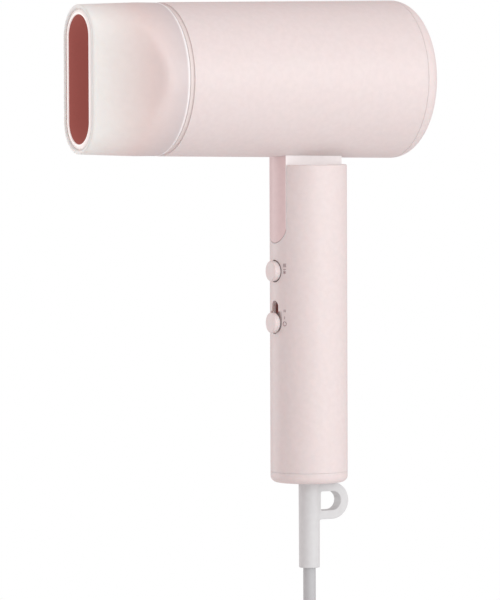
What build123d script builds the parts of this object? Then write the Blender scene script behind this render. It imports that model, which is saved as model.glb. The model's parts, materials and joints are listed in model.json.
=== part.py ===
"""Travel hair dryer with a fold-down head, a clip-on styling nozzle and a mains cord.

Frame: +X is where the air goes, +Z is up along the handle, origin on the handle's axis at
the middle of the grip. All sizes are in millimetres.
"""
from build123d import *
import math
import os

os.makedirs("parts", exist_ok=True)

# ---------------------------------------------------------------- driving dimensions
handle_radius = 17.1
handle_wall = 2.0
handle_top = 71.4
handle_bottom = -69.0
cap_height = 4.7                 # visible height of the bottom cap
cap_corner = 3.0
bore_radius = handle_radius - handle_wall

barrel_z = 109.0                 # height of the air path's axis
rear_radius = 35.0
front_radius = 33.4
barrel_rear = -41.3
barrel_front = 73.6
barrel_wall = 2.0
cover_length = 7.0
cover_corner = 6.6
intake_radius = 26.0

pivot_x = 4.5                    # fold hinge, across the handle
pivot_z = 54.8
pin_radius = 2.5
bush_radius = 4.0
neck_half_width = 7.5
slot_half_width = 7.7
slot_bottom = 36.9
cheek_half_gap = 7.8
bracket_radius = 14.95
neck_rear_radius = 14.8
bracket_floor = 28.0
bracket_floor_top = 31.0
bracket_screw_x = -3.6
bracket_screw_y = 11.4
shelf_thickness = 1.8
screw_radius = 1.2
screw_head_radius = 2.1
screw_head_height = 1.4
wire_way = (-10.5, -1.0)         # passage for the wires beside the pivot
wire_way_half_width = 5.0
neck_screw_x = 12.0
neck_screw_y = 4.2

button_z = 24.65                 # cool-shot button
button_radius = 4.5
button_face_x = 19.35
button_hole_radius = 4.85
slider_z = 1.9                   # power slider, at its lowest place
slider_travel = 6.0
slider_slot_width = 5.6
recess_half_width = 5.0
recess_depth = 0.9
knob_clearance = 0.35
seam_chamfer = 0.3

nozzle_rear = 75.6
nozzle_front = 113.0
nozzle_wall = 2.0
collar_end = 84.0
collar_radius = 33.2
mouth_height = 64.5              # outside of the mouth, a stadium
mouth_width = 28.5
scoop_start = 86.0               # where the flat sides leave the round collar
lip_thickness = 0.6
duct_rear = 84.5
duct_rear_height = 29.6
duct_rear_width = 23.6
duct_wall = 1.6
duct_gap = 0.2
groove_ring_end = 75.3
groove_ring_radius = 32.7
spigot_end = 82.0
spigot_radius = 29.9
spigot_bore = 28.2

fan_start = -29.0
fan_end = -17.0
fan_radius = 27.5
hub_radius = 12.0
blade_count = 9
vane_count = 7

relief_top_radius = 4.72
relief_end_radius = 4.60
relief_end = -107.1
cord_diameter = 5.6
cord_radius = cord_diameter / 2
coil_radius = 30.0               # middle of the bundle of turns
coil_layers = 3
coil_z = -198.0
coil_side = coil_radius + cord_diameter
plug_x = -29.5
pin_spacing = 19.0

barrel_axis = Axis((0, 0, barrel_z), (1, 0, 0))
pivot_axis = Axis((pivot_x, 0, pivot_z), (0, 1, 0))


def across_barrel(x):
    """Plane square to the barrel's axis at x: local x is +Y, local y is +Z."""
    return Plane(origin=(x, 0, barrel_z), x_dir=(0, 1, 0), z_dir=(1, 0, 0))


def facing_front(x, z):
    """Plane square to +X at x, centred on the handle's front line at height z."""
    return Plane(origin=(x, 0, z), x_dir=(0, 1, 0), z_dir=(1, 0, 0))


def facing_side(y):
    """Plane square to Y at y: local x is +X, local y is +Z, and it faces -Y."""
    return Plane(origin=(0, y, 0), x_dir=(1, 0, 0), z_dir=(0, -1, 0))


def save(piece, name):
    """Label a finished sub-part and write its STEP file."""
    piece.part.label = name
    export_step(piece.part, f"parts/{name}.step")


def barrel_tube(x_start, x_end, outer, inner):
    """Plain ring round the barrel's axis."""
    with BuildPart() as tube:
        with BuildSketch(across_barrel(x_start)):
            Circle(outer)
            if inner > 0:
                Circle(inner, mode=Mode.SUBTRACT)
        extrude(amount=x_end - x_start)
    return tube


def turned_about_barrel(points):
    """Solid of revolution round the barrel's axis from (x, radius) corners."""
    with BuildPart() as turned:
        with BuildSketch(Plane.XZ):
            with BuildLine():
                Polyline([(x, barrel_z + radius) for x, radius in points], close=True)
            make_face()
        revolve(axis=barrel_axis)
    return turned


def upright_box(x_range, y_range, z_range):
    """Plain block between two corners."""
    with BuildPart() as block:
        with BuildSketch(Plane.XY.offset(z_range[0])):
            with Locations((sum(x_range) / 2, sum(y_range) / 2)):
                Rectangle(x_range[1] - x_range[0], y_range[1] - y_range[0])
        extrude(amount=z_range[1] - z_range[0])
    return block


def tongue_reach(y):
    """Distance from the pivot to the lower front edge of the neck's tongue, at y."""
    ahead = math.sqrt(handle_radius ** 2 - y ** 2) - pivot_x
    below = pivot_z - slot_bottom - slot_half_width + math.sqrt(neck_half_width ** 2 - y ** 2)
    return math.hypot(ahead, below)


# ---------------------------------------------------------------- handle
cap_seam = handle_bottom + cap_height
knob_front = handle_radius + 2

with BuildPart() as recess_cutter:
    with BuildSketch(facing_front(0, slider_z)):
        Circle(recess_half_width)
        with Locations((0, recess_half_width / 2)):
            Rectangle(2 * recess_half_width, recess_half_width)
    extrude(amount=knob_front)
    with BuildSketch(Plane.XY.offset(slider_z - 2 * recess_half_width)):
        Circle(handle_radius - recess_depth)
    extrude(amount=4 * recess_half_width, mode=Mode.SUBTRACT)

# space that the tip of the neck's tongue sweeps as it leaves the slot
tongue_clearance = 0.15
tongue_heights = [neck_half_width * math.sin(math.radians(step * 15)) for step in range(-6, 7)]
with BuildPart() as tongue_sweep:
    with BuildSketch(Plane(origin=(pivot_x, 0, pivot_z), x_dir=(1, 0, -1), z_dir=(-1, 0, -1))):
        with BuildLine():
            edge = Spline([(tongue_reach(y) + tongue_clearance, y) for y in tongue_heights])
            Polyline(edge @ 1, (0, neck_half_width), (0, -neck_half_width), edge @ 0)
        make_face()
    revolve(axis=pivot_axis, revolution_arc=40)

with BuildPart() as handle_shell:
    with BuildSketch(Plane.XY.offset(cap_seam)):
        Circle(handle_radius)
        Circle(bore_radius, mode=Mode.SUBTRACT)
    extrude(amount=handle_top - cap_seam)
    chamfer(handle_shell.edges().group_by(Axis.Z)[-1], 0.35)
    chamfer(handle_shell.edges().group_by(Axis.Z)[0].sort_by(SortBy.RADIUS)[-1], seam_chamfer / 2)
    # U-shaped slot that the neck swings through
    with BuildSketch(facing_front(0, slot_bottom + slot_half_width)):
        Circle(slot_half_width)
        with Locations((0, 20)):
            Rectangle(2 * slot_half_width, 40)
    extrude(amount=knob_front, mode=Mode.SUBTRACT)
    add(tongue_sweep.part, mode=Mode.SUBTRACT)
    with BuildSketch(facing_front(0, button_z)):
        Circle(button_hole_radius)
    extrude(amount=knob_front, mode=Mode.SUBTRACT)
    with BuildSketch(facing_front(0, slider_z + slider_travel / 2)):
        SlotOverall(slider_travel + slider_slot_width + 2, slider_slot_width, rotation=90)
    extrude(amount=knob_front, mode=Mode.SUBTRACT)
    add(recess_cutter.part, mode=Mode.SUBTRACT)
save(handle_shell, "handle_shell")

with BuildPart() as bottom_cap:
    with BuildSketch(Plane.XY.offset(handle_bottom)):
        Circle(handle_radius)
    extrude(amount=cap_height)
    fillet(bottom_cap.edges().group_by(Axis.Z)[0], cap_corner)
    with BuildSketch(Plane.XY.offset(cap_seam)):
        Circle(bore_radius - 0.1)
    extrude(amount=6)
    with BuildSketch(Plane.XY.offset(handle_bottom + 2.8)):
        Circle(bore_radius - 2)
    extrude(amount=20, mode=Mode.SUBTRACT)
    with BuildSketch(Plane.XY.offset(handle_bottom)):
        Circle(relief_top_radius)
    extrude(amount=cap_height, mode=Mode.SUBTRACT)
save(bottom_cap, "bottom_cap")

# ---------------------------------------------------------------- fold hinge
bracket_screw_places = [(bracket_screw_x, -bracket_screw_y), (bracket_screw_x, bracket_screw_y)]
with BuildPart() as hinge_bracket:
    with BuildSketch(Plane.XY.offset(bracket_floor)):
        Circle(bracket_radius)
    extrude(amount=handle_top - 1.0 - bracket_floor)
    # channel for the neck between the two cheeks
    with BuildSketch(Plane.XY.offset(bracket_floor_top)):
        Rectangle(4 * bracket_radius, 2 * cheek_half_gap)
    extrude(amount=handle_top, mode=Mode.SUBTRACT)
    with BuildSketch(Plane.XZ):
        with Locations((pivot_x, pivot_z)):
            Circle(pin_radius)
    extrude(amount=handle_radius, both=True, mode=Mode.SUBTRACT)
    # room for the push button in front, way through for the wires
    with BuildSketch(Plane.XY.offset(bracket_floor)):
        with Locations((5.2 + bracket_radius, 0)):
            Rectangle(2 * bracket_radius, 2 * cheek_half_gap)
    extrude(amount=bracket_floor_top - bracket_floor, mode=Mode.SUBTRACT)
    with BuildSketch(Plane.XY.offset(bracket_floor)):
        with Locations((-7, 0)):
            Circle(4.2)
    extrude(amount=10, mode=Mode.SUBTRACT)
    with BuildSketch(Plane.XY.offset(bracket_floor)):
        with Locations(bracket_screw_places):
            Circle(screw_radius)
    extrude(amount=9, mode=Mode.SUBTRACT)
save(hinge_bracket, "hinge_bracket")

with BuildPart() as hinge_pin:
    with BuildSketch(Plane.XZ):
        with Locations((pivot_x, pivot_z)):
            Circle(pin_radius)
    extrude(amount=13.2, both=True)
    chamfer(hinge_pin.edges().filter_by(GeomType.CIRCLE), 0.4)
save(hinge_pin, "hinge_pin")

# ---------------------------------------------------------------- neck
neck_screw_places = [(neck_screw_x, -neck_screw_y), (neck_screw_x, neck_screw_y)]
neck_screw_seat = pivot_z + 22.6
with BuildPart() as barrel_envelope:
    with BuildSketch(Plane.XZ):
        with BuildLine():
            Polyline([(barrel_rear, barrel_z), (barrel_rear, barrel_z + rear_radius),
                      (barrel_front, barrel_z + front_radius), (barrel_front, barrel_z)],
                     close=True)
        make_face()
    revolve(axis=barrel_axis)

tongue_height = pivot_z - slot_bottom - slot_half_width
with BuildPart() as neck:
    # plate between the cheeks: front flush with the handle, rear inside its bore
    with BuildSketch(Plane.XY.offset(pivot_z)):
        Circle(handle_radius)
        with Locations((-2 * handle_radius, 0)):
            Rectangle(4 * handle_radius, 4 * handle_radius, mode=Mode.SUBTRACT)
        Circle(neck_rear_radius)
        Rectangle(4 * handle_radius, 2 * neck_half_width, mode=Mode.INTERSECT)
    extrude(amount=40)
    # tongue that closes the slot below the pivot
    with BuildSketch(facing_front(pivot_x, slot_bottom + slot_half_width)):
        Circle(neck_half_width)
        with Locations((0, tongue_height / 2)):
            Rectangle(2 * neck_half_width, tongue_height)
    extrude(amount=handle_radius)
    # rounded rear of the knuckle, clear of the bore over the whole swing
    with BuildSketch(Plane.XY.offset(pivot_z)):
        Circle(neck_rear_radius)
        Rectangle(4 * handle_radius, 2 * neck_half_width, mode=Mode.INTERSECT)
        with Locations((2 * handle_radius + pivot_x, 0)):
            Rectangle(4 * handle_radius, 4 * handle_radius, mode=Mode.SUBTRACT)
    revolve(axis=pivot_axis, revolution_arc=-90)
    with BuildSketch(Plane.XY.offset(slot_bottom - 2)):
        Circle(3 * handle_radius)
        Circle(handle_radius, mode=Mode.SUBTRACT)
    extrude(amount=60, mode=Mode.SUBTRACT)
    add(barrel_envelope.part, mode=Mode.SUBTRACT)
    # bore for the two bushes, way for the wires, pilot holes for the screws
    with BuildSketch(Plane.XZ):
        with Locations((pivot_x, pivot_z)):
            Circle(bush_radius)
    extrude(amount=neck_half_width, both=True, mode=Mode.SUBTRACT)
    with BuildSketch(Plane.XY.offset(slot_bottom - 2)):
        with Locations((sum(wire_way) / 2, 0)):
            Rectangle(wire_way[1] - wire_way[0], 2 * wire_way_half_width)
    extrude(amount=60, mode=Mode.SUBTRACT)
    with BuildSketch(Plane.XY.offset(pivot_z + 9)):
        with Locations(neck_screw_places):
            Circle(screw_radius)
    extrude(amount=20, mode=Mode.SUBTRACT)
save(neck, "neck_knuckle")

bush_length = 5.0
for side, start in (("left", neck_half_width), ("right", bush_length - neck_half_width)):
    with BuildPart() as hinge_bush:
        with BuildSketch(facing_side(start)):
            with Locations((pivot_x, pivot_z)):
                Circle(bush_radius)
                Circle(pin_radius + 0.08, mode=Mode.SUBTRACT)
        extrude(amount=bush_length)
    save(hinge_bush, f"hinge_bush_{side}")

with BuildPart() as neck_screws:
    with BuildSketch(Plane.XY.offset(pivot_z + 12)):
        with Locations(neck_screw_places):
            Circle(screw_radius)
    extrude(amount=neck_screw_seat - pivot_z - 12)
    with BuildSketch(Plane.XY.offset(neck_screw_seat)):
        with Locations(neck_screw_places):
            Circle(screw_head_radius)
    extrude(amount=screw_head_height)
    with BuildSketch(Plane.XY.offset(neck_screw_seat + screw_head_height)):
        with Locations(neck_screw_places):
            Rectangle(2.6, 0.6)
            Rectangle(0.6, 2.6)
    extrude(amount=-0.7, mode=Mode.SUBTRACT)
save(neck_screws, "neck_screws")

# ---------------------------------------------------------------- barrel
front_bore = front_radius - barrel_wall
with BuildPart() as barrel_shell:
    add(barrel_envelope.part)
    with BuildSketch(Plane.XZ):
        with BuildLine():
            Polyline([(barrel_rear, barrel_z), (barrel_rear, barrel_z + rear_radius - barrel_wall),
                      (barrel_front, barrel_z + front_bore), (barrel_front, barrel_z)], close=True)
        make_face()
    revolve(axis=barrel_axis, mode=Mode.SUBTRACT)
    rear_edges = barrel_shell.edges().filter_by(GeomType.CIRCLE).group_by(Axis.X)[0]
    chamfer(rear_edges.sort_by(SortBy.RADIUS)[-1], seam_chamfer)
    # the wires' way up from the neck, and the neck screws' seats
    with BuildSketch(Plane.XY.offset(pivot_z)):
        with Locations((sum(wire_way) / 2, 0)):
            Rectangle(wire_way[1] - wire_way[0], 2 * wire_way_half_width)
        with Locations(neck_screw_places):
            Circle(screw_radius + 0.1)
    extrude(amount=40, mode=Mode.SUBTRACT)
    with BuildSketch(Plane.XY.offset(neck_screw_seat)):
        with Locations(neck_screw_places):
            Circle(screw_head_radius + 0.2)
    extrude(amount=10, mode=Mode.SUBTRACT)
save(barrel_shell, "barrel_shell")

cover_rear = barrel_rear - cover_length
with BuildPart() as rear_cover:
    with BuildSketch(Plane.XZ):
        with BuildLine():
            Polyline([(x, barrel_z + radius) for x, radius in (
                (barrel_rear + 5, 32.85), (barrel_rear, 32.85),
                (barrel_rear, rear_radius - seam_chamfer),
                (barrel_rear - seam_chamfer, rear_radius), (cover_rear, rear_radius), (cover_rear, intake_radius),
                (cover_rear + 2.5, intake_radius), (cover_rear + 2.5, 30.9),
                (barrel_rear + 5, 30.9))], close=True)
        make_face()
    revolve(axis=barrel_axis)
    rim = rear_cover.edges().filter_by(GeomType.CIRCLE).group_by(Axis.X)[0]
    fillet(rim.sort_by(SortBy.RADIUS)[-1], cover_corner)
save(rear_cover, "rear_cover")

with BuildPart() as intake_grille:
    with BuildSketch(across_barrel(cover_rear + 0.5)):
        Circle(intake_radius - 0.05)
    extrude(amount=2.0)
    with BuildSketch(across_barrel(cover_rear + 2.5)):
        Circle(28.6)
        Circle(24.6, mode=Mode.SUBTRACT)
    extrude(amount=1.2)
    with BuildSketch(across_barrel(cover_rear)):
        Circle(1.3)
        for row in range(1, 6):
            with PolarLocations(4.3 * row, 6 * row):
                Circle(1.35)
    extrude(amount=5, mode=Mode.SUBTRACT)
save(intake_grille, "intake_grille")

# ---------------------------------------------------------------- outlet
outlet_ring = turned_about_barrel((
    (barrel_front - 6, front_bore - 0.1), (barrel_front, front_bore - 0.1),
    (barrel_front, groove_ring_radius), (groove_ring_end, groove_ring_radius),
    (groove_ring_end, spigot_radius), (spigot_end, spigot_radius),
    (spigot_end, spigot_bore), (barrel_front - 6, spigot_bore)))
save(outlet_ring, "outlet_ring")

grille_start = 77.0
with BuildPart() as outlet_grille:
    with BuildSketch(across_barrel(grille_start)):
        Circle(spigot_bore - 0.05)
    extrude(amount=2.4)
    with BuildSketch(across_barrel(grille_start)):
        for row in range(1, 6):
            with PolarLocations(4.7 * row + 0.6, 6 * row):
                RegularPolygon(1.95, 6)
    extrude(amount=2.4, mode=Mode.SUBTRACT)
save(outlet_grille, "outlet_grille")

with BuildPart() as ion_emitter:
    with BuildSketch(across_barrel(grille_start - 3.5)):
        Circle(2.2)
    extrude(amount=3.5)
save(ion_emitter, "ion_emitter")

# ---------------------------------------------------------------- nozzle
ring_gap = 0.3
ring_inner = spigot_radius + ring_gap
ring_outer = collar_radius - nozzle_wall - ring_gap
nozzle_ring = barrel_tube(nozzle_rear + 0.6, collar_end - 2.6, ring_outer, ring_inner)
save(nozzle_ring, "nozzle_ring")


def nozzle_form(inset):
    """Solid nozzle: a round collar flattened on both sides down to a stadium mouth."""
    half_height = mouth_height / 2 - inset
    half_width = mouth_width / 2 - inset
    round_radius = collar_radius - inset
    slope = (round_radius - half_width) / (nozzle_front - scoop_start)
    with BuildPart() as corners:
        with BuildSketch(across_barrel(nozzle_rear)):
            RectangleRounded(2 * (round_radius + slope * (scoop_start - nozzle_rear)),
                             2 * round_radius + 6, round_radius)
        with BuildSketch(across_barrel(nozzle_front)):
            RectangleRounded(2 * half_width, 2 * half_height, half_width - 0.01)
        loft()
    with BuildPart() as form:
        with BuildSketch(Plane.XZ):
            with BuildLine():
                Polyline([(nozzle_rear, barrel_z), (nozzle_rear, barrel_z + round_radius),
                          (scoop_start, barrel_z + round_radius),
                          (nozzle_front, barrel_z + half_height), (nozzle_front, barrel_z)],
                         close=True)
            make_face()
        revolve(axis=barrel_axis)
        add(corners.part, mode=Mode.INTERSECT)
    return form


with BuildPart() as nozzle_shell:
    add(nozzle_form(0).part)
    add(nozzle_form(nozzle_wall).part, mode=Mode.SUBTRACT)
save(nozzle_shell, "nozzle_shell")

duct_front = nozzle_front - lip_thickness


def duct_form(inset):
    """Solid air duct behind the mouth, widening towards the collar."""
    with BuildPart() as duct:
        with BuildSketch(across_barrel(duct_rear)):
            SlotOverall(2 * (duct_rear_height - inset), 2 * (duct_rear_width - inset), rotation=90)
        with BuildSketch(across_barrel(duct_front)):
            SlotOverall(mouth_height - 2 * nozzle_wall - 2 * duct_gap - 2 * inset,
                        mouth_width - 2 * nozzle_wall - 2 * duct_gap - 2 * inset, rotation=90)
        loft()
    return duct


with BuildPart() as nozzle_liner:
    add(duct_form(0).part)
    add(duct_form(duct_wall).part, mode=Mode.SUBTRACT)
save(nozzle_liner, "nozzle_liner")

with BuildPart() as nozzle_lip:
    with BuildSketch(across_barrel(duct_front)):
        SlotOverall(mouth_height - 2 * nozzle_wall, mouth_width - 2 * nozzle_wall, rotation=90)
        SlotOverall(mouth_height - 8, mouth_width - 8, rotation=90, mode=Mode.SUBTRACT)
    extrude(amount=nozzle_front - duct_front)
save(nozzle_lip, "nozzle_lip")

# ---------------------------------------------------------------- fan and motor
fan_duct = turned_about_barrel((
    (fan_start - 4, 30.2), (8, 30.2), (8, fan_radius + 0.8), (fan_start - 2, fan_radius + 0.8),
    (fan_start - 4, fan_radius + 1.8)))
save(fan_duct, "fan_duct")

damper_ring = turned_about_barrel((
    (-20, 30.2), (-20, 32.5), (-17, 31.6), (-14, 32.4), (-14, 30.2)))
save(damper_ring, "damper_ring")

motor_radius = 12.0
cup_radius = motor_radius + 1.9
cup_front = -13.4
with BuildPart() as motor_mount:
    with BuildSketch(Plane.XZ):
        with BuildLine():
            Polyline([(x, barrel_z + radius) for x, radius in (
                (cup_front - 1.8, 2.2), (cup_front - 1.8, cup_radius - 1.5),
                (cup_front - 0.3, cup_radius), (6, cup_radius), (6, motor_radius + 0.1),
                (cup_front, motor_radius + 0.1), (cup_front, 2.2))], close=True)
        make_face()
    revolve(axis=barrel_axis)
    # guide vanes out to the duct
    for vane in range(vane_count):
        turn = 360 / vane_count * (vane + 0.5)
        outward = Vector(0, 0, 1).rotate(Axis.X, turn)
        with BuildSketch(Plane(origin=Vector(-4, 0, barrel_z) + outward * (cup_radius - 0.6),
                               x_dir=(1, 0, 0), z_dir=outward)):
            Rectangle(15, 1.4, rotation=14)
        extrude(amount=fan_radius + 1.8 - cup_radius)
    add(fan_duct.part, mode=Mode.SUBTRACT)
save(motor_mount, "motor_mount")

motor_can = barrel_tube(cup_front + 0.1, 12, motor_radius, 0)
save(motor_can, "motor_can")

with BuildPart() as motor_endbell:
    with BuildSketch(across_barrel(12)):
        Circle(motor_radius - 0.8)
    extrude(amount=3)
    chamfer(motor_endbell.edges().group_by(Axis.X)[-1], 0.8)
    with BuildSketch(across_barrel(15)):
        with Locations((-8, 0), (8, 0)):
            Rectangle(0.8, 3)
    extrude(amount=3)
save(motor_endbell, "motor_endbell")

with BuildPart() as rectifier_board:
    with BuildSketch(across_barrel(18)):
        Circle(13)
        Circle(2, mode=Mode.SUBTRACT)
    extrude(amount=1.4)
    with BuildSketch(across_barrel(19.4)):
        with GridLocations(9, 9, 2, 2):
            Rectangle(5, 2.6)
    extrude(amount=2.2)
save(rectifier_board, "rectifier_board")

motor_shaft = barrel_tube(fan_start + 2, cup_front - 0.3, 1.0, 0)
save(motor_shaft, "motor_shaft")

with BuildPart() as fan_impeller:
    with BuildSketch(Plane.XZ):
        with BuildLine():
            Polyline([(x, barrel_z + radius) for x, radius in (
                (fan_start + 1, 1.0), (fan_start + 1, hub_radius - 4), (fan_start + 3, hub_radius - 1),
                (fan_start + 5, hub_radius), (fan_end, hub_radius), (fan_end, hub_radius - 1.5),
                (fan_start + 5, hub_radius - 1.5), (fan_start + 5, 3.5), (fan_end - 1, 3.5),
                (fan_end - 1, 1.0))], close=True)
        make_face()
    revolve(axis=barrel_axis)
    for blade in range(blade_count):
        turn = 360 / blade_count * blade
        outward = Vector(0, 0, 1).rotate(Axis.X, turn)
        middle = (fan_start + 5 + fan_end) / 2
        with BuildSketch(Plane(origin=Vector(middle, 0, barrel_z) + outward * (hub_radius - 0.6),
                               x_dir=(1, 0, 0), z_dir=outward)):
            Rectangle(10.5, 1.1, rotation=-40)
        with BuildSketch(Plane(origin=Vector(middle, 0, barrel_z) + outward * (fan_radius - 0.4),
                               x_dir=(1, 0, 0), z_dir=outward)):
            Rectangle(10.5, 0.8, rotation=-62)
        loft()
save(fan_impeller, "fan_impeller")

# ---------------------------------------------------------------- heater
shield_start = 9.0
heat_shield = barrel_tube(shield_start, barrel_front + 2, spigot_bore - 0.1, spigot_bore - 0.8)
save(heat_shield, "heat_shield")

mica_start = 24.0
mica_end = 68.0
mica_middle = (mica_start + mica_end) / 2
mica_span = 20.2
mica_half = 0.5
coil_wire = 1.2

for name, place in (("mica_ring_rear", mica_start - 1.2), ("mica_ring_front", mica_end)):
    mica_ring = barrel_tube(place, place + 1.2, spigot_bore - 0.9, 17.0)
    save(mica_ring, name)

with BuildPart() as mica_upright:
    with BuildSketch(Plane.XZ):
        with Locations((mica_middle, barrel_z)):
            Rectangle(mica_end - mica_start, 2 * mica_span)
        with Locations(((mica_start + mica_middle) / 2, barrel_z)):
            Rectangle(mica_middle - mica_start, 2 * mica_half + 0.1, mode=Mode.SUBTRACT)
    extrude(amount=mica_half, both=True)
save(mica_upright, "mica_upright")

with BuildPart() as mica_level:
    with BuildSketch(Plane.XY.offset(barrel_z)):
        with Locations((mica_middle, 0)):
            Rectangle(mica_end - mica_start, 2 * mica_span)
        with Locations(((mica_middle + mica_end) / 2, 0)):
            Rectangle(mica_end - mica_middle, 2 * mica_half + 0.1, mode=Mode.SUBTRACT)
    extrude(amount=mica_half, both=True)
save(mica_level, "mica_level")

coil_rings = 5
ring_pitch = 4.0
coil_inner = mica_span + 0.1
for name, start in (("heater_coil_rear", mica_start + 2.5), ("heater_coil_front", mica_middle + 2)):
    with BuildPart() as heater_coil:
        for count in range(coil_rings):
            with BuildSketch(across_barrel(start + ring_pitch * count)):
                Circle(coil_inner + coil_wire)
                Circle(coil_inner, mode=Mode.SUBTRACT)
            extrude(amount=coil_wire)
        # bar that joins the turns
        with BuildSketch(across_barrel(start)):
            with PolarLocations(coil_inner + 0.9 * coil_wire, 1, start_angle=45):
                Rectangle(coil_wire, 2 * coil_wire)
        extrude(amount=ring_pitch * (coil_rings - 1) + coil_wire)
    save(heater_coil, name)

thermostat = upright_box((30, 42), (5, 11), (barrel_z + mica_half, barrel_z + mica_half + 3.2))
save(thermostat, "thermostat")

with BuildPart() as thermal_fuse:
    with BuildSketch(across_barrel(30)):
        with Locations((-8, mica_half + 1.5)):
            Circle(1.5)
    extrude(amount=11)
save(thermal_fuse, "thermal_fuse")

# ---------------------------------------------------------------- wires in the head
head_wire_radius = 0.8
wire_floor = barrel_z - (rear_radius - barrel_wall) + 1.55
terminal_x = (28.0, 38.0)
with BuildPart() as head_wires:
    for offset_y in (-1.1, 1.1):
        with BuildLine() as head_path:
            FilletPolyline([(-6, offset_y, pivot_z + 6), (-6, offset_y, wire_floor),
                            (terminal_x[0], offset_y, wire_floor + 1)], radius=3)
        with BuildSketch(Plane(origin=(-6, offset_y, pivot_z + 6), z_dir=(0, 0, 1))):
            Circle(head_wire_radius)
        sweep(path=head_path.wires()[0])
save(head_wires, "head_wires")

terminal_block = upright_box((terminal_x[0] + 0.1, terminal_x[1]), (-5, 5),
                             (wire_floor + 0.1, wire_floor + 2.5))
save(terminal_block, "terminal_block")

# ---------------------------------------------------------------- buttons
button_flange_x = (12.4, 13.6)
with BuildPart() as cool_button:
    with BuildSketch(facing_front(button_flange_x[0], button_z)):
        Circle(button_radius)
    extrude(amount=button_face_x - button_flange_x[0])
    fillet(cool_button.edges().group_by(Axis.X)[-1], 0.5)
    with BuildSketch(facing_front(button_flange_x[0], button_z)):
        Circle(button_radius + 1.1)
    extrude(amount=button_flange_x[1] - button_flange_x[0])
    with BuildSketch(facing_front(9.4, button_z)):
        Circle(2.5)
    extrude(amount=button_flange_x[0] - 9.4)
save(cool_button, "cool_button")

spring_start = 5.6
spring_end = 12.0
spring_turns = 6
spring_pitch = (spring_end - spring_start) / (spring_turns - 1)
with BuildPart() as button_spring:
    with BuildSketch(Plane.XZ):
        with Locations([(spring_start + spring_pitch * count, button_z + 3.2)
                        for count in range(spring_turns)]):
            Circle(0.3)
    revolve(axis=Axis((0, 0, button_z), (1, 0, 0)))
    with BuildSketch(facing_front(spring_start, button_z)):
        with Locations((0, 3.4)):
            Circle(0.3)
    extrude(amount=spring_end - spring_start)
save(button_spring, "button_spring")

knob_inner_x = 12.4
with BuildPart() as power_slider:
    with BuildSketch(facing_front(0, slider_z)):
        Circle(button_radius)
    extrude(amount=button_face_x)
    fillet(power_slider.edges().group_by(Axis.X)[-1], 0.5)
    with BuildSketch(Plane.XY.offset(slider_z - 10)):
        Circle(handle_radius + knob_clearance)
    extrude(amount=20, mode=Mode.SUBTRACT)
    with BuildSketch(facing_front(8.4, slider_z)):
        Rectangle(4.4, 4.8)
    extrude(amount=handle_radius + 1 - 8.4)
    with BuildSketch(facing_front(knob_inner_x, slider_z)):
        Rectangle(8, 9)
    extrude(amount=1.4)
save(power_slider, "power_slider")

# ---------------------------------------------------------------- inside the handle
board_x = (-3.0, -1.6)
board_z = (-30.0, 26.0)
with BuildPart() as switch_chassis:
    with BuildSketch(Plane.XY.offset(-57)):
        Circle(bore_radius - 0.15)
        Circle(bore_radius - 1.8, mode=Mode.SUBTRACT)
        with Locations((2 * handle_radius - 6, 0)):
            Rectangle(4 * handle_radius, 4 * handle_radius, mode=Mode.SUBTRACT)
    extrude(amount=bracket_floor + 57)
    # two rails that carry the board
    with BuildSketch(Plane.XY.offset(board_z[0])):
        with Locations((-7.2, -8.0), (-7.2, 8.0)):
            Rectangle(8.4, 1.6)
    extrude(amount=bracket_floor - board_z[0])
    # shelf that the hinge bracket is screwed to
    with BuildSketch(Plane.XY.offset(bracket_floor - shelf_thickness)):
        Circle(bore_radius - 0.15)
        with Locations((2 * handle_radius - 1.4, 0)):
            Rectangle(4 * handle_radius, 4 * handle_radius, mode=Mode.SUBTRACT)
        with Locations((-7, 0)):
            Circle(4.2, mode=Mode.SUBTRACT)
        with Locations(bracket_screw_places):
            Circle(screw_radius, mode=Mode.SUBTRACT)
    extrude(amount=shelf_thickness)
    # seat under the cord clamp
    with BuildSketch(Plane.XY.offset(-56)):
        with Locations((-9.7, 0)):
            Rectangle(7.4, 14)
    extrude(amount=8)
save(switch_chassis, "switch_chassis")

with BuildPart() as bracket_screws:
    with BuildSketch(Plane.XY.offset(bracket_floor - shelf_thickness - 1.3)):
        with Locations(bracket_screw_places):
            Circle(2.0)
    extrude(amount=1.3)
    with BuildSketch(Plane.XY.offset(bracket_floor - shelf_thickness)):
        with Locations(bracket_screw_places):
            Circle(screw_radius)
    extrude(amount=9.8)
save(bracket_screws, "bracket_screws")

control_board = upright_box(board_x, (-9.4, 9.4), board_z)
save(control_board, "control_board")

with BuildPart() as cool_switch:
    with BuildSketch(facing_front(board_x[1], button_z - 1.1)):
        Rectangle(7, 5)
    extrude(amount=5 - board_x[1])
    with BuildSketch(facing_front(5, button_z)):
        Circle(1.6)
    extrude(amount=3)
save(cool_switch, "cool_switch")

with BuildPart() as power_switch:
    with BuildSketch(facing_front(board_x[1], slider_z + slider_travel / 2)):
        Rectangle(9, 22)
    extrude(amount=8.0 - board_x[1])
    # channel that the slider's stem runs in
    with BuildSketch(facing_front(6.5, slider_z + slider_travel / 2)):
        Rectangle(5.2, 14)
    extrude(amount=4, mode=Mode.SUBTRACT)
save(power_switch, "power_switch")

ion_generator = upright_box((2.5, 12.0), (-6.5, 6.5), (-40, -16))
save(ion_generator, "ion_generator")

clamp_z = (-56.0, -48.0)
with BuildPart() as cord_clamp:
    with BuildSketch(Plane.XY.offset(clamp_z[0])):
        Rectangle(12, 22)
        Circle(cord_radius, mode=Mode.SUBTRACT)
        with Locations((10, 0)):
            Rectangle(14, 30, mode=Mode.SUBTRACT)
    extrude(amount=clamp_z[1] - clamp_z[0])
save(cord_clamp, "cord_clamp")

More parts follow.
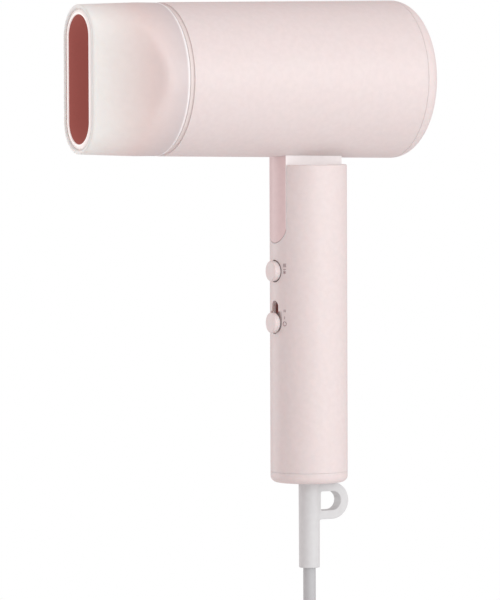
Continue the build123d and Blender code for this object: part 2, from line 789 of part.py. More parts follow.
with BuildPart() as clamp_screws:
    with BuildSketch(facing_front(3.0, sum(clamp_z) / 2)):
        with Locations((-8.0, 0), (8.0, 0)):
            Circle(screw_head_radius)
    extrude(amount=screw_head_height)
save(clamp_screws, "clamp_screws")

# ---------------------------------------------------------------- strain relief with its loop
loop_middle_x = -10.1
loop_middle_z = -77.65
loop_outer = 8.15
loop_hole = 4.2
loop_half_width = 3.1
loop_hole_inner = -4.4           # where the hole meets the sleeve
with BuildPart() as strain_relief:
    with BuildSketch(Plane.XY.offset(relief_end)):
        Circle(relief_end_radius)
    with BuildSketch(Plane.XY.offset(handle_bottom + 2.8)):
        Circle(relief_top_radius)
    loft()
    with BuildSketch(Plane.XY.offset(handle_bottom + 2.8)):
        Circle(6.6)
    extrude(amount=2.4)
    with BuildSketch(Plane.XZ):
        with Locations((loop_middle_x, loop_middle_z)):
            Circle(loop_outer)
        with Locations((loop_middle_x / 2, loop_middle_z)):
            Rectangle(-loop_middle_x, 2 * loop_outer)
        with Locations((loop_middle_x, loop_middle_z)):
            Circle(loop_hole, mode=Mode.SUBTRACT)
        with Locations(((loop_middle_x + loop_hole_inner) / 2, loop_middle_z)):
            Rectangle(loop_hole_inner - loop_middle_x, 2 * loop_hole, mode=Mode.SUBTRACT)
    extrude(amount=loop_half_width, both=True)
    with BuildSketch(Plane.XY.offset(relief_end)):
        Circle(cord_radius)
    extrude(amount=80, mode=Mode.SUBTRACT)
save(strain_relief, "strain_relief")

# ---------------------------------------------------------------- mains cord
cord_inner_top = -44.0
with BuildPart() as cord_inner:
    with BuildSketch(Plane.XY.offset(relief_end)):
        Circle(cord_radius)
    extrude(amount=cord_inner_top - relief_end)
save(cord_inner, "cord_inner")

with BuildPart() as mains_wires:
    for side in (-1, 1):
        with BuildLine() as wire_path:
            FilletPolyline([(0, 1.4 * side, cord_inner_top), (0, 1.4 * side, -34),
                            (-0.2, 3.0 * side, -24), (-0.2, 3.0 * side, -9.6)], radius=6)
        with BuildSketch(Plane(origin=(0, 1.4 * side, cord_inner_top), z_dir=(0, 0, 1))):
            Circle(1.0)
        sweep(path=wire_path.wires()[0])
save(mains_wires, "mains_wires")


def cord_radii(points):
    """Bend radius at each inner point: 0.45 of the shorter run over tan of half the turn."""
    corners = [Vector(*point) for point in points]
    radii = []
    for before, here, after in zip(corners, corners[1:], corners[2:]):
        run_in = here - before
        run_out = after - here
        half_turn = math.radians(run_in.get_angle(run_out)) / 2
        radii.append(0.45 * min(run_in.length, run_out.length) / math.tan(half_turn))
    return radii


def cord_tube(points, name):
    """Round tube along straight runs joined by tangent arcs."""
    radii = cord_radii(points)
    with BuildPart() as tube:
        with BuildLine() as route:
            FilletPolyline(points, radius=radii)
        with BuildSketch(Plane(origin=points[0], z_dir=Vector(*points[1]) - Vector(*points[0]))):
            Circle(cord_radius)
        sweep()
    length = route.wires()[0].length
    ratio = tube.part.volume / (math.pi * cord_radius ** 2 * length)
    print(name, "length", round(length, 1), "radii", [round(radius, 1) for radius in radii],
          "volume ratio", round(ratio, 4))
    save(tube, name)


lead_y = -cord_diameter
tail_y = cord_diameter
cord_tube([(0, 0, relief_end), (0, 0, -127.5), (-6.0, -1.0, -148.0),
           (-26.0, -4.2, -164.0), (-coil_side, lead_y, -180.5),
           (-coil_side, lead_y, coil_z)], "cord_lead")

bundle = coil_layers * cord_diameter
with BuildPart() as cord_coil:
    with BuildSketch(Plane.XY.offset(coil_z)):
        with Locations((-coil_radius, 0)):
            RectangleRounded(bundle, bundle, cord_radius)
    revolve(axis=Axis((0, 0, coil_z), (0, 1, 0)))
save(cord_coil, "cord_coil")

tie_wall = 0.9
with BuildPart() as cord_tie:
    with BuildSketch(Plane.XY.offset(coil_z - 3)):
        with Locations((-coil_radius, 0)):
            RectangleRounded(bundle + 2 * tie_wall, bundle + 2 * tie_wall, cord_radius + tie_wall)
    extrude(amount=6)
    add(cord_coil.part, mode=Mode.SUBTRACT)
save(cord_tie, "cord_tie")

plug_entry_z = -272.0
cord_tube([(-coil_side, tail_y, coil_z), (-coil_side, tail_y, -223.0),
           (plug_x, tail_y, -247.0), (plug_x, tail_y, plug_entry_z)], "cord_tail")

plug_relief_length = 14.0
plug_body_top = plug_entry_z - plug_relief_length
plug_body_length = 30.0
plug_face_z = plug_body_top - plug_body_length
pin_length = 19.0
pin_round = 2.4
pin_root = 10.0
pin_root_radius = 1.9
pin_places = [(plug_x - pin_spacing / 2, tail_y), (plug_x + pin_spacing / 2, tail_y)]
with BuildPart() as mains_plug:
    with BuildSketch(Plane.XY.offset(plug_face_z)):
        with Locations((plug_x, tail_y)):
            RectangleRounded(35.0, 25.0, 11.0)
    extrude(amount=plug_body_length * 0.5)
    with BuildSketch(Plane.XY.offset(plug_face_z + plug_body_length * 0.5)):
        with Locations((plug_x, tail_y)):
            RectangleRounded(35.0, 25.0, 11.0)
    with BuildSketch(Plane.XY.offset(plug_body_top)):
        with Locations((plug_x, tail_y)):
            RectangleRounded(17.0, 15.0, 6.0)
    loft()
    fillet(mains_plug.edges().group_by(Axis.Z)[0], 1.2)
    with BuildSketch(Plane.XY.offset(plug_face_z)):
        with Locations(pin_places):
            Circle(pin_root_radius)
    extrude(amount=pin_root, mode=Mode.SUBTRACT)
save(mains_plug, "mains_plug")

with BuildPart() as plug_relief:
    with BuildSketch(Plane.XY.offset(plug_body_top)):
        with Locations((plug_x, tail_y)):
            Circle(5.2)
    with BuildSketch(Plane.XY.offset(plug_entry_z)):
        with Locations((plug_x, tail_y)):
            Circle(3.8)
    loft()
save(plug_relief, "plug_relief")

with BuildPart() as plug_pins:
    with BuildSketch(Plane.XY.offset(plug_face_z - pin_length)):
        with Locations(pin_places):
            Circle(pin_round)
    extrude(amount=pin_length)
    fillet(plug_pins.edges().group_by(Axis.Z)[0], 1.2)
    with BuildSketch(Plane.XY.offset(plug_face_z)):
        with Locations(pin_places):
            Circle(pin_root_radius)
    extrude(amount=pin_root)
save(plug_pins, "plug_pins")
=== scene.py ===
"""Travel hair dryer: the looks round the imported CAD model. Metres, in the model's own frame."""

import json
import math

import bmesh
import bpy
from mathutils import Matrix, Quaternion, Vector


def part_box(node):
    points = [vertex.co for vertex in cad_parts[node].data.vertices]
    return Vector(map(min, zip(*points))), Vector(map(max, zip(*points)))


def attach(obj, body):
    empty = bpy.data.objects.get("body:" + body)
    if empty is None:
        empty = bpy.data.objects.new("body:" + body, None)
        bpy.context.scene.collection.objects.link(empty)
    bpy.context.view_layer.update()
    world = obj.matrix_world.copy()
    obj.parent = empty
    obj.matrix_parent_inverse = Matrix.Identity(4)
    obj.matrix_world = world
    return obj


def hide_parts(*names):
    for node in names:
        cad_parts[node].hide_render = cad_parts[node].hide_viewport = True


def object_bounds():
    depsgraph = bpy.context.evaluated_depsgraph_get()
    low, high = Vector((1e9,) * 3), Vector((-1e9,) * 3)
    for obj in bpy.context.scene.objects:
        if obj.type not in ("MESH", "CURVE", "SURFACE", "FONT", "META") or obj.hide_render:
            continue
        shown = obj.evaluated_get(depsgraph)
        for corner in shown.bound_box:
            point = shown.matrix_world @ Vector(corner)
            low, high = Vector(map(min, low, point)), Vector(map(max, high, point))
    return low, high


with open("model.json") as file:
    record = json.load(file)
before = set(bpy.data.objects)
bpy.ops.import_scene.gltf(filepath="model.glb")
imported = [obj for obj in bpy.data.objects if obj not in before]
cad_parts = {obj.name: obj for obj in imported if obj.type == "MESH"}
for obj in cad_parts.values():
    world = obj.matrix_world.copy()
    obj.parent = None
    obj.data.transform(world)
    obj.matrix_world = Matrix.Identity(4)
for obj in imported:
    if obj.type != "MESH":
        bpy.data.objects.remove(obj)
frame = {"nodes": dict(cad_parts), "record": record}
cad_low, cad_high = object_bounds()
nodes = frame["nodes"]

# ------------------------------------------------------------------ places read from the frame
handle_low, handle_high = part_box("handle_shell")
barrel_low, barrel_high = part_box("barrel_shell")
nozzle_low, nozzle_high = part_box("nozzle_shell")
relief_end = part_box("strain_relief")[0].z
coil_low, coil_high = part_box("cord_coil")
grip_radius = (handle_high.y - handle_low.y) / 2
barrel_z = (barrel_low.z + barrel_high.z) / 2

# ------------------------------------------------------------------ camera
VIEW_AZIMUTH = math.radians(151.57)
VIEW_PITCH = math.radians(2.478)
VIEW_ROLL = math.radians(-0.218)
VIEW_DISTANCE = 1.990
LENS = 270
AIM_HEIGHT = 0.0116
AIM_LEFT = 0.0259      # how far left of the handle's axis the picture's middle is
to_camera = Vector((math.sin(VIEW_AZIMUTH), -math.cos(VIEW_AZIMUTH), 0))
to_right = Vector((-to_camera.y, to_camera.x, 0))


def make_camera():
    back = to_camera * math.cos(VIEW_PITCH) + Vector((0, 0, math.sin(VIEW_PITCH)))
    aim = Vector((0, 0, AIM_HEIGHT)) - to_right * AIM_LEFT
    camera_data = bpy.data.cameras.new("camera")
    camera_data.lens = LENS
    camera_data.clip_end = 50
    camera = bpy.data.objects.new("camera", camera_data)
    bpy.context.scene.collection.objects.link(camera)
    camera.location = aim + back * VIEW_DISTANCE
    camera.rotation_mode = "QUATERNION"
    look = (-back).to_track_quat("-Z", "Y")
    camera.rotation_quaternion = Quaternion(back, VIEW_ROLL) @ look
    bpy.context.scene.camera = camera


make_camera()


# ------------------------------------------------------------------ studio
LIT_POINT = Vector((0.02, 0, 0.03))
AMBIENT_COLOUR = (1.0, 0.87, 0.87, 1)
AMBIENT_STRENGTH = 0.64


def make_light(name, bearing, elevation, distance, size, power, colour=(1, 1, 1)):
    """Soft square lamp; bearing is degrees to the right of the camera, seen from the object."""
    turn, rise = math.radians(bearing), math.radians(elevation)
    level = to_camera * math.cos(turn) + to_right * math.sin(turn)
    lamp_data = bpy.data.lights.new(name, "AREA")
    lamp_data.size = size
    lamp_data.energy = power
    lamp_data.color = colour
    lamp = bpy.data.objects.new(name, lamp_data)
    bpy.context.scene.collection.objects.link(lamp)
    lamp.location = LIT_POINT + (level * math.cos(rise) + Vector((0, 0, math.sin(rise)))) * distance
    lamp.rotation_mode = "QUATERNION"
    lamp.rotation_quaternion = (LIT_POINT - lamp.location).to_track_quat("-Z", "Y")


make_light("key", 25, 10, 1.8, 1.0, 5.4, (0.94, 1.0, 1.0))
make_light("side", 50, 10, 1.7, 1.0, 5.6, (0.94, 1.0, 1.0))
make_light("far_side", 80, 5, 1.6, 1.0, 1.3)
make_light("rim", -120, 5, 1.5, 0.9, 4.6, (0.95, 1.0, 1.0))
make_light("upper", 30, 50, 1.8, 1.1, 4.3)


def make_world():
    """White behind the object, and a dimmer, faintly pink light all round it."""
    world = bpy.data.worlds.new("studio")
    world.use_nodes = True
    bpy.context.scene.world = world
    tree = world.node_tree
    tree.nodes.clear()
    output = tree.nodes.new("ShaderNodeOutputWorld")
    mix = tree.nodes.new("ShaderNodeMixShader")
    path = tree.nodes.new("ShaderNodeLightPath")
    ambient = tree.nodes.new("ShaderNodeBackground")
    ambient.inputs["Color"].default_value = AMBIENT_COLOUR
    ambient.inputs["Strength"].default_value = AMBIENT_STRENGTH
    backdrop = tree.nodes.new("ShaderNodeBackground")
    backdrop.inputs["Color"].default_value = (1, 1, 1, 1)
    backdrop.inputs["Strength"].default_value = 1.0
    tree.links.new(path.outputs["Is Camera Ray"], mix.inputs["Fac"])
    tree.links.new(ambient.outputs[0], mix.inputs[1])
    tree.links.new(backdrop.outputs[0], mix.inputs[2])
    tree.links.new(mix.outputs[0], output.inputs["Surface"])
    bpy.context.scene.view_settings.view_transform = "Standard"


make_world()


# ------------------------------------------------------------------ material helpers
def new_material(name):
    material = bpy.data.materials.new(name)
    material.use_nodes = True
    return material, material.node_tree, material.node_tree.nodes["Principled BSDF"]


def add_noise(tree, scale, detail=3.0, roughness=0.5):
    """Noise in the model's own metres."""
    place = tree.nodes.new("ShaderNodeTexCoord")
    noise = tree.nodes.new("ShaderNodeTexNoise")
    noise.inputs["Scale"].default_value = scale
    noise.inputs["Detail"].default_value = detail
    noise.inputs["Roughness"].default_value = roughness
    tree.links.new(place.outputs["Object"], noise.inputs["Vector"])
    return noise.outputs["Fac"]


def ramp(tree, fac, low_colour, high_colour, low=0.35, high=0.65):
    node = tree.nodes.new("ShaderNodeValToRGB")
    node.color_ramp.elements[0].position = low
    node.color_ramp.elements[0].color = (*low_colour, 1)
    node.color_ramp.elements[1].position = high
    node.color_ramp.elements[1].color = (*high_colour, 1)
    tree.links.new(fac, node.inputs["Fac"])
    return node.outputs["Color"]


def spread(tree, fac, low, high):
    node = tree.nodes.new("ShaderNodeMapRange")
    node.inputs["To Min"].default_value = low
    node.inputs["To Max"].default_value = high
    tree.links.new(fac, node.inputs["Value"])
    return node.outputs["Result"]


def add_bump(tree, shader, height, strength, distance):
    bump = tree.nodes.new("ShaderNodeBump")
    bump.inputs["Strength"].default_value = strength
    bump.inputs["Distance"].default_value = distance
    tree.links.new(height, bump.inputs["Height"])
    tree.links.new(bump.outputs["Normal"], shader.inputs["Normal"])


def shade(colour, factor):
    return tuple(min(1.0, channel * factor) for channel in colour)


def moulded_plastic(name, colour, rough=0.4, grain=1800, depth=0.00001, vary=0.016,
                    subsurface=0.0, painted_glow=0.0):
    """Moulded plastic: faint mottling, uneven gloss, a fine spark-eroded grain and, if asked, a
    painted glow.
    """
    material, tree, shader = new_material(name)
    mottle = add_noise(tree, 420, 3)
    tree.links.new(ramp(tree, mottle, shade(colour, 1 - vary), shade(colour, 1 + vary)),
                   shader.inputs["Base Color"])
    tree.links.new(spread(tree, add_noise(tree, 240, 2), rough - 0.05, rough + 0.05),
                   shader.inputs["Roughness"])
    add_bump(tree, shader, add_noise(tree, grain, 2), 0.25, depth)
    if subsurface:
        shader.inputs["Subsurface Weight"].default_value = subsurface
        shader.inputs["Subsurface Radius"].default_value = (1.0, 0.45, 0.35)
        shader.inputs["Subsurface Scale"].default_value = 0.003
    # Painted light: an even glow, on a part that is no lamp.
    if painted_glow:
        shader.inputs["Emission Color"].default_value = (*colour, 1)
        shader.inputs["Emission Strength"].default_value = painted_glow
    return material


def lit_and_shaded_plastic(name, shaded_middle_colour, lit_side_colour, side_start):
    """Moulded plastic with painted light and shade: its two side faces, beyond side_start from the
    middle, are painted lighter, the middle painted darker.
    """
    material, tree, shader = new_material(name)
    place = tree.nodes.new("ShaderNodeTexCoord")
    axes = tree.nodes.new("ShaderNodeSeparateXYZ")
    across = tree.nodes.new("ShaderNodeMath")
    across.operation = "ABSOLUTE"
    tree.links.new(place.outputs["Object"], axes.inputs["Vector"])
    tree.links.new(axes.outputs["Y"], across.inputs[0])
    side = tree.nodes.new("ShaderNodeMapRange")
    side.inputs["From Min"].default_value = side_start - 0.0001
    side.inputs["From Max"].default_value = side_start
    tree.links.new(across.outputs[0], side.inputs["Value"])
    mix = tree.nodes.new("ShaderNodeMixRGB")
    tree.links.new(side.outputs["Result"], mix.inputs["Fac"])
    mottle = add_noise(tree, 420, 3)
    tree.links.new(ramp(tree, mottle, shade(shaded_middle_colour, 0.985), shade(shaded_middle_colour, 1.015)),
                   mix.inputs["Color1"])
    tree.links.new(ramp(tree, mottle, shade(lit_side_colour, 0.985), shade(lit_side_colour, 1.015)),
                   mix.inputs["Color2"])
    tree.links.new(mix.outputs["Color"], shader.inputs["Base Color"])
    tree.links.new(spread(tree, add_noise(tree, 240, 2), 0.37, 0.47), shader.inputs["Roughness"])
    add_bump(tree, shader, add_noise(tree, 1800, 2), 0.25, 0.00001)
    return material


RIM_HIGHLIGHT_TONE = (0.95, 0.92, 0.92)        # painted highlight on the collar's bare rear edge
COLLAR_SHADE_TONE = (0.67, 0.61, 0.61)     # painted shade over the spigot
DUCT_SHADE_TONE = (0.79, 0.68, 0.655)      # painted warm shade where the duct stands close behind the wall
MILKY_TONE = (0.88, 0.90, 0.87)      # the free wall at the mouth


def frosted_plastic(name):
    """Milky plastic with painted light and shade along it: a painted highlight on the rear edge,
    painted shade over the spigot and, warmer, where the air duct stands close behind it, and its
    own milky white at the mouth.
    """
    material, tree, shader = new_material(name)
    # Painted light and shade along the nozzle, as tones from rear to front.
    tones = (
        (0.00, RIM_HIGHLIGHT_TONE), (0.02, RIM_HIGHLIGHT_TONE), (0.04, COLLAR_SHADE_TONE), (0.43, DUCT_SHADE_TONE),
        (1.00, MILKY_TONE),
    )
    place = tree.nodes.new("ShaderNodeTexCoord")
    axes = tree.nodes.new("ShaderNodeSeparateXYZ")
    along = tree.nodes.new("ShaderNodeMapRange")
    along.inputs["From Min"].default_value = nozzle_low.x
    along.inputs["From Max"].default_value = nozzle_high.x
    tree.links.new(place.outputs["Object"], axes.inputs["Vector"])
    tree.links.new(axes.outputs["X"], along.inputs["Value"])
    tone = tree.nodes.new("ShaderNodeValToRGB")
    stops = tone.color_ramp.elements
    stops[0].color = (*tones[0][1], 1)
    stops[1].color = (*tones[-1][1], 1)
    for position, colour in tones[1:-1]:
        stop = stops.new(position)
        stop.color = (*colour, 1)
    tree.links.new(along.outputs["Result"], tone.inputs["Fac"])
    cloud = tree.nodes.new("ShaderNodeMixRGB")
    cloud.blend_type = "MULTIPLY"
    cloud.inputs["Fac"].default_value = 1.0
    tree.links.new(tone.outputs["Color"], cloud.inputs["Color1"])
    tree.links.new(ramp(tree, add_noise(tree, 300, 3), (0.98, 0.98, 0.98), (1, 1, 1)),
                   cloud.inputs["Color2"])
    tree.links.new(cloud.outputs["Color"], shader.inputs["Base Color"])
    tree.links.new(spread(tree, add_noise(tree, 240, 2), 0.32, 0.42), shader.inputs["Roughness"])
    add_bump(tree, shader, add_noise(tree, 1800, 2), 0.2, 0.00001)
    shader.inputs["Subsurface Weight"].default_value = 0.25
    shader.inputs["Subsurface Radius"].default_value = (1.0, 0.7, 0.6)
    shader.inputs["Subsurface Scale"].default_value = 0.003
    return material


def metal(name, colour, rough=0.3, grain=900):
    material, tree, shader = new_material(name)
    shader.inputs["Metallic"].default_value = 1.0
    tree.links.new(ramp(tree, add_noise(tree, 90, 2), shade(colour, 0.93), shade(colour, 1.05)),
                   shader.inputs["Base Color"])
    tree.links.new(spread(tree, add_noise(tree, 300, 2), rough - 0.08, rough + 0.08),
                   shader.inputs["Roughness"])
    add_bump(tree, shader, add_noise(tree, grain, 3), 0.2, 0.00001)
    return material


BODY_PINK = (0.775, 0.70, 0.69)
materials = {
    "body_pink": moulded_plastic("body_pink", BODY_PINK, 0.42, subsurface=0.15),
    "frosted": frosted_plastic("frosted"),
    # Painted light: the terracotta liner glows so the inside of the mouth looks evenly lit.
    "terracotta": moulded_plastic("terracotta", (0.285, 0.092, 0.079), 0.5, painted_glow=0.62),
    # Painted highlight: the bead's white glows a little, standing in for its edge highlight.
    "lip_white": moulded_plastic("lip_white", (0.96, 0.93, 0.91), 0.25, painted_glow=0.22),
    "groove_beige": moulded_plastic("groove_beige", (0.76, 0.69, 0.67), 0.45),
    "black_plastic": moulded_plastic("black_plastic", (0.02, 0.02, 0.02), 0.5),
    "white_plastic": moulded_plastic("white_plastic", (0.75, 0.75, 0.72), 0.45),
    "steel": metal("steel", (0.6, 0.6, 0.61)),
    "dark_steel": metal("dark_steel", (0.22, 0.22, 0.24), 0.4),
    "mica": moulded_plastic("mica", (0.42, 0.32, 0.2), 0.35, grain=500, vary=0.25),
    "nichrome": metal("nichrome", (0.35, 0.29, 0.25), 0.45),
    "rubber_dark": moulded_plastic("rubber_dark", (0.03, 0.03, 0.03), 0.7),
    "board_green": moulded_plastic("board_green", (0.03, 0.12, 0.05), 0.4),
    "cord_grey": moulded_plastic("cord_grey", (0.50, 0.52, 0.53), 0.5, grain=1400),
    "relief_white": moulded_plastic("relief_white", (0.66, 0.68, 0.685), 0.5),
    "wire_red": moulded_plastic("wire_red", (0.35, 0.04, 0.03), 0.45),
    "brass": metal("brass", (0.75, 0.72, 0.66), 0.22),
    # Painted light and shade: the neck's side faces painted lighter, its middle painted darker than
    # body_pink.
    "neck_pink": lit_and_shaded_plastic("neck_pink", (0.76, 0.60, 0.60), (0.93, 0.90, 0.90), 0.0074),
    # Painted shade: the dark lining of the push button's gap.
    "gap_painted_shade": moulded_plastic("gap_painted_shade", (0.10, 0.055, 0.05), 0.6),
    "mark_grey": moulded_plastic("mark_grey", (0.36, 0.27, 0.28), 0.6),
    "tie_white": moulded_plastic("tie_white", (0.7, 0.7, 0.7), 0.45),
}
slot_of = {part["node"]: part["material_slot"] for part in frame["record"]["subparts"]}
finish_of = {**slot_of, "neck_knuckle": "neck_pink"}    # painted light and shade: its side faces lighter, its middle darker


def finish_cad_nodes():
    """Give each CAD node its material."""
    for name, node in nodes.items():
        node.data.materials.clear()
        node.data.materials.append(materials[finish_of[name]])


finish_cad_nodes()


# ------------------------------------------------------------------ mesh helpers
MARK_INK = "mark_grey"


def new_piece(name, mesh, slot, body, *stands_for):
    """Finish a bmesh as a smooth-shaded piece that rides on a body."""
    bmesh.ops.recalc_face_normals(mesh, faces=mesh.faces)
    data = bpy.data.meshes.new(name)
    mesh.to_mesh(data)
    mesh.free()
    data.shade_smooth()
    data.materials.append(materials[slot])
    piece = bpy.data.objects.new(name, data)
    bpy.context.scene.collection.objects.link(piece)
    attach(piece, body)
    if stands_for:
        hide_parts(*stands_for)


def skin(mesh, rings, joined=False):
    """Quads between closed rings of points; joined also closes the last ring to the first."""
    rows = [[mesh.verts.new(point) for point in ring] for ring in rings]
    pairs = list(zip(rows, rows[1:])) + ([(rows[-1], rows[0])] if joined else [])
    for row, next_row in pairs:
        count = len(row)
        for place in range(count):
            after = (place + 1) % count
            mesh.faces.new((row[place], row[after], next_row[after], next_row[place]))


# ------------------------------------------------------------------ nozzle
MOUTH_HALF_HEIGHT = 0.03225
MOUTH_HALF_WIDTH = 0.01425
FLAT_START = 0.086
COLLAR_RADIUS = (nozzle_high.y - nozzle_low.y) / 2
NOZZLE_WALL = 0.002
NOZZLE_EDGE = 0.0004     # rounding at both ends
HOLLOW_DEPTH = 0.0013    # deepest point of the flat sides' hollow
BLEND = 0.0022           # softness of the edge between round and flat
RING_POINTS = 128
STATIONS = 44
BISECTIONS = 24


def rounded_box_distance(y, z, half_width, half_height, corner):
    """Signed distance to a rounded rectangle in a plane across the nozzle."""
    over_y = abs(y) - (half_width - corner)
    over_z = abs(z) - (half_height - corner)
    outside = math.hypot(max(over_y, 0), max(over_z, 0))
    return outside + min(max(over_y, over_z), 0) - corner


def nozzle_distance(x, y, z, inset):
    """Distance to the nozzle's skin: the round collar, softly cut by the hollowed flat sides."""
    front = nozzle_high.x
    round_radius = COLLAR_RADIUS - inset
    half_width = MOUTH_HALF_WIDTH - inset
    half_height = MOUTH_HALF_HEIGHT - inset
    slope = (round_radius - half_width) / (front - FLAT_START)
    along = (x - nozzle_low.x) / (front - nozzle_low.x)
    cut = max(0.0, (x - FLAT_START) / (front - FLAT_START))
    hollow = HOLLOW_DEPTH * 4 * cut * (1 - cut)
    width = half_width + slope * (front - x) - hollow
    height = (round_radius + 0.003) * (1 - along) + half_height * along
    corner = round_radius * (1 - along) + half_width * along
    corner = min(corner, width, height) - 0.00001
    taper = round_radius + (half_height - round_radius) * cut
    flat = rounded_box_distance(y, z, width, height, corner)
    tube = math.hypot(y, z) - taper
    blend = BLEND * (1 - 0.9 * cut)
    overlap = max(blend - abs(flat - tube), 0) / blend
    return max(flat, tube) + overlap ** 2 * blend / 4


def nozzle_ring_points(x, inset):
    """Closed ring round the nozzle's skin at x, moved inwards by inset."""
    points = []
    for step in range(RING_POINTS):
        angle = 2 * math.pi * step / RING_POINTS
        low, high = 0.0, 0.05
        for _ in range(BISECTIONS):
            middle = (low + high) / 2
            if nozzle_distance(x, middle * math.cos(angle), middle * math.sin(angle), inset) > 0:
                high = middle
            else:
                low = middle
        points.append((x, low * math.cos(angle), barrel_z + low * math.sin(angle)))
    return points


def make_nozzle_shell():
    rear, front, edge = nozzle_low.x, nozzle_high.x, NOZZLE_EDGE
    stations = [rear + edge + (front - rear - 2 * edge) * step / STATIONS
                for step in range(STATIONS + 1)]
    rings = [nozzle_ring_points(rear, NOZZLE_WALL - edge), nozzle_ring_points(rear, edge)]
    rings += [nozzle_ring_points(x, 0) for x in stations]
    rings += [nozzle_ring_points(front - 0.0001, 0.00015), nozzle_ring_points(front, edge),
              nozzle_ring_points(front, NOZZLE_WALL - edge / 2)]
    rings += [nozzle_ring_points(x, NOZZLE_WALL) for x in reversed(stations)]
    mesh = bmesh.new()
    skin(mesh, rings, joined=True)
    new_piece("nozzle_shell_look", mesh, "frosted", "nozzle", "nozzle_shell")


make_nozzle_shell()


def stadium(x, half_width, half_height):
    """Closed ring round a stadium with its long axis upright."""
    points = []
    straight = half_height - half_width
    for step in range(RING_POINTS):
        angle = 2 * math.pi * step / RING_POINTS
        shift = straight if math.sin(angle) > 1e-6 else -straight
        if abs(math.sin(angle)) <= 1e-6:
            shift = 0
        points.append((x, half_width * math.cos(angle),
                       barrel_z + shift + half_width * math.sin(angle)))
    return points


BEAD_INSET = 0.0043      # from the mouth's outside to the opening


def make_nozzle_lip():
    """Bead round the mouth, made bright by a painted highlight (the glow of its white), with a fine
    groove between it and the shell.
    """
    front = nozzle_high.x
    opening = MOUTH_HALF_WIDTH - BEAD_INSET
    profile = ((0, 0.0006), (0, 0.00025), (0.0002, 0.00005), (0.0005, 0), (0.0009, 0.0001),
               (0.0012, 0.0003), (0.0014, 0.0005), (0.0022, 0.0005), (0.0022, 0.0006))
    difference = MOUTH_HALF_HEIGHT - MOUTH_HALF_WIDTH
    mesh = bmesh.new()
    skin(mesh, [stadium(front - back, opening + out, opening + out + difference)
                for out, back in profile], joined=True)
    new_piece("mouth_bead", mesh, "lip_white", "nozzle", "nozzle_lip")


make_nozzle_lip()


# ------------------------------------------------------------------ printed marks
MARK_BEARING = math.radians(22.9)
MARK_RADIUS = grip_radius + 0.00001
MARK_THICKNESS = 0.00003
STROKE = 0.0003


def on_grip(across, height, lift):
    """Point on the handle's skin: across is measured round it from the marks' middle line."""
    bearing = MARK_BEARING + across / grip_radius
    radius = MARK_RADIUS + lift
    return (radius * math.cos(bearing), radius * math.sin(bearing), height)


def add_stroke(mesh, start, end):
    """Thin closed slab between two (across, height) points on the handle's skin."""
    run = Vector(end) - Vector(start)
    side = Vector((-run.y, run.x)).normalized() * STROKE / 2
    corners = [Vector(start) + side, Vector(end) + side, Vector(end) - side, Vector(start) - side]
    lower = [mesh.verts.new(on_grip(c.x, c.y, -MARK_THICKNESS)) for c in corners]
    upper = [mesh.verts.new(on_grip(c.x, c.y, MARK_THICKNESS)) for c in corners]
    mesh.faces.new(lower[::-1])
    mesh.faces.new(upper)
    for place in range(4):
        after = (place + 1) % 4
        mesh.faces.new((lower[place], lower[after], upper[after], upper[place]))


def add_path(mesh, points, height):
    """Strokes along (across, up) points round a height."""
    places = [(across, height + up) for across, up in points]
    for start, end in zip(places, places[1:]):
        add_stroke(mesh, start, end)


def middle_height(node_name):
    low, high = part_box(node_name)
    return low.z / 2 + high.z / 2


def make_marks():
    """Heat waves, a dash and a snowflake by the button; II, I and a ring by the slider."""
    button_z = middle_height("cool_button")
    slider_z = middle_height("power_slider")
    mesh = bmesh.new()
    for column in (-0.0006, 0, 0.0006):
        wave = [(column + 0.00016 * math.sin(step * math.pi / 3), (step - 4) * 0.0002)
                for step in range(9)]
        add_path(mesh, wave, button_z + 0.0027)
    add_path(mesh, [(-0.0007, 0), (0.0007, 0)], button_z + 0.0009)
    for spoke in range(3):
        turn = math.pi * spoke / 3
        reach = (0.0008 * math.sin(turn), 0.0008 * math.cos(turn))
        add_path(mesh, [(-reach[0], -reach[1]), reach], button_z - 0.0004)
    for column in (-0.00035, 0.00035):
        add_path(mesh, [(column, -0.0006), (column, 0.0006)], slider_z + 0.0054)
    add_path(mesh, [(0, -0.0006), (0, 0.0006)], slider_z + 0.0024)
    ring = [(0.0009 * math.cos(step * math.pi / 12), 0.0009 * math.sin(step * math.pi / 12))
            for step in range(25)]
    add_path(mesh, ring, slider_z - 0.0003)
    new_piece("control_marks", mesh, MARK_INK, "handle")


make_marks()


# ------------------------------------------------------------------ painted shade in the gap round the push button
BUTTON_RADIUS = 0.0045      # the part that stands out of the handle
GAP_CLEARANCE = 0.00003
GAP_WIDTH = 0.00042
GAP_LIFT = 0.00002
GAP_DEPTH = 0.0003
GAP_POINTS = 64


def make_gap_shade():
    """Painted shade: a dark ring in the gap between the push button and its hole, lying on the
    handle's skin over the hole's edge.
    """
    button_low, button_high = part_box("cool_button")
    height = (button_low.z + button_high.z) / 2
    inner = BUTTON_RADIUS + GAP_CLEARANCE
    outer = inner + GAP_WIDTH
    rings = []
    for radius, depth in ((inner, -GAP_LIFT), (outer, -GAP_LIFT),
                          (outer, GAP_DEPTH), (inner, GAP_DEPTH)):
        ring = []
        for step in range(GAP_POINTS):
            turn = 2 * math.pi * step / GAP_POINTS
            across = radius * math.cos(turn)
            ring.append((math.sqrt(grip_radius ** 2 - across ** 2) - depth, across,
                         height + radius * math.sin(turn)))
        rings.append(ring)
    mesh = bmesh.new()
    skin(mesh, rings, joined=True)
    new_piece("button_gap_shade", mesh, "gap_painted_shade", "handle")


make_gap_shade()


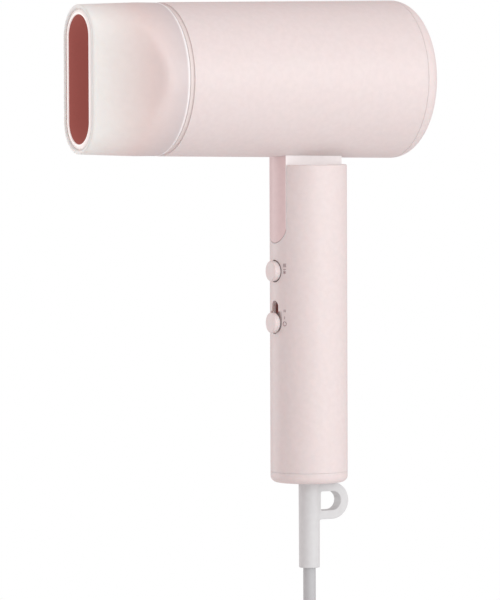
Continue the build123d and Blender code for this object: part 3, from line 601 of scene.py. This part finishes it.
# ------------------------------------------------------------------ strain relief
def soften(node_name, name, voxel, rounds, slot, body):
    """A node's shape remeshed and smoothed, so its edges are round as moulded rubber is."""
    source = nodes[node_name]
    piece = bpy.data.objects.new(name, source.data.copy())
    bpy.context.scene.collection.objects.link(piece)
    remesh = piece.modifiers.new("remesh", "REMESH")
    remesh.mode = "VOXEL"
    remesh.voxel_size = voxel
    smooth = piece.modifiers.new("smooth", "SMOOTH")
    smooth.factor = 0.5
    smooth.iterations = rounds
    bpy.context.view_layer.update()
    depsgraph = bpy.context.evaluated_depsgraph_get()
    data = bpy.data.meshes.new_from_object(piece.evaluated_get(depsgraph))
    piece.modifiers.clear()
    piece.data = data
    data.shade_smooth()
    data.materials.clear()
    data.materials.append(materials[slot])
    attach(piece, body)
    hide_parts(node_name)


soften("strain_relief", "relief_sleeve", 0.00028, 6, "relief_white", "handle")


# ------------------------------------------------------------------ cord
CORD_DIAMETER = 0.0056
coil_middle = (coil_low + coil_high) / 2
coil_outer = (coil_high.x - coil_low.x) / 2 - CORD_DIAMETER / 2
TURN_POINTS = 16


def turn_points(radius_from, radius_to, y_from, y_to):
    """One turn of the coil, down its -X side first, drifting from one lay to the next."""
    points = []
    swell = 1 / math.cos(math.pi / TURN_POINTS) ** 0.5
    for step in range(TURN_POINTS):
        along = step / TURN_POINTS
        ease = max(0.0, (along - 0.7) / 0.3)
        radius = (radius_from + (radius_to - radius_from) * ease) * swell
        angle = math.pi + 2 * math.pi * along
        points.append((coil_middle.x + radius * math.cos(angle), y_from + (y_to - y_from) * ease,
                       coil_middle.z + radius * math.sin(angle)))
    return points


def cord_route():
    """The lead's and the tail's points are those of the CAD route; the coil's come from a loop."""
    lay = CORD_DIAMETER
    points = [(0, 0, relief_end), (0, 0, -0.1195), (0, 0, -0.1295), (-0.006, -0.001, -0.148),
              (-0.026, -0.0042, -0.164), (-0.0356, -lay, -0.1805)]
    lays = [(0, -1), (1, -1), (2, -1), (2, 0), (1, 0), (0, 0), (1, 1), (0, 1), (0, 1)]
    for (depth, side), (next_depth, next_side) in zip(lays, lays[1:]):
        points += turn_points(coil_outer - depth * lay, coil_outer - next_depth * lay,
                              side * lay, next_side * lay)
    points += [(-0.0356, lay, -0.198), (-0.0356, lay, -0.223), (-0.0295, lay, -0.247),
               (-0.0295, lay, -0.272)]
    return points


def make_cord():
    """The mains cord: straight down from the relief, a coil of eight turns, then the plug."""
    curve = bpy.data.curves.new("mains_cord", "CURVE")
    curve.dimensions = "3D"
    curve.bevel_depth = CORD_DIAMETER / 2
    curve.bevel_resolution = 6
    curve.resolution_u = 6
    spline = curve.splines.new("NURBS")
    points = cord_route()
    spline.points.add(len(points) - 1)
    for point, place in zip(spline.points, points):
        point.co = (*place, 1)
    spline.order_u = 3
    spline.use_endpoint_u = True
    curve.materials.append(materials["cord_grey"])
    cord = bpy.data.objects.new("mains_cord", curve)
    bpy.context.scene.collection.objects.link(cord)
    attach(cord, "handle")
    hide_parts("cord_lead", "cord_coil", "cord_tail")


make_cord()


# ------------------------------------------------------------------ floor
FLOOR_RADIUS = 1.9
FLOOR_DROP = 0.02


def make_floor():
    mesh = bmesh.new()
    bmesh.ops.create_circle(mesh, cap_ends=True, radius=FLOOR_RADIUS, segments=96)
    data = bpy.data.meshes.new("floor")
    mesh.to_mesh(data)
    mesh.free()
    floor = bpy.data.objects.new("floor", data)
    floor.location.z = cad_low.z - FLOOR_DROP
    bpy.context.scene.collection.objects.link(floor)
    data.materials.append(moulded_plastic("floor", (0.9, 0.9, 0.9), 0.7, grain=200))


make_floor()
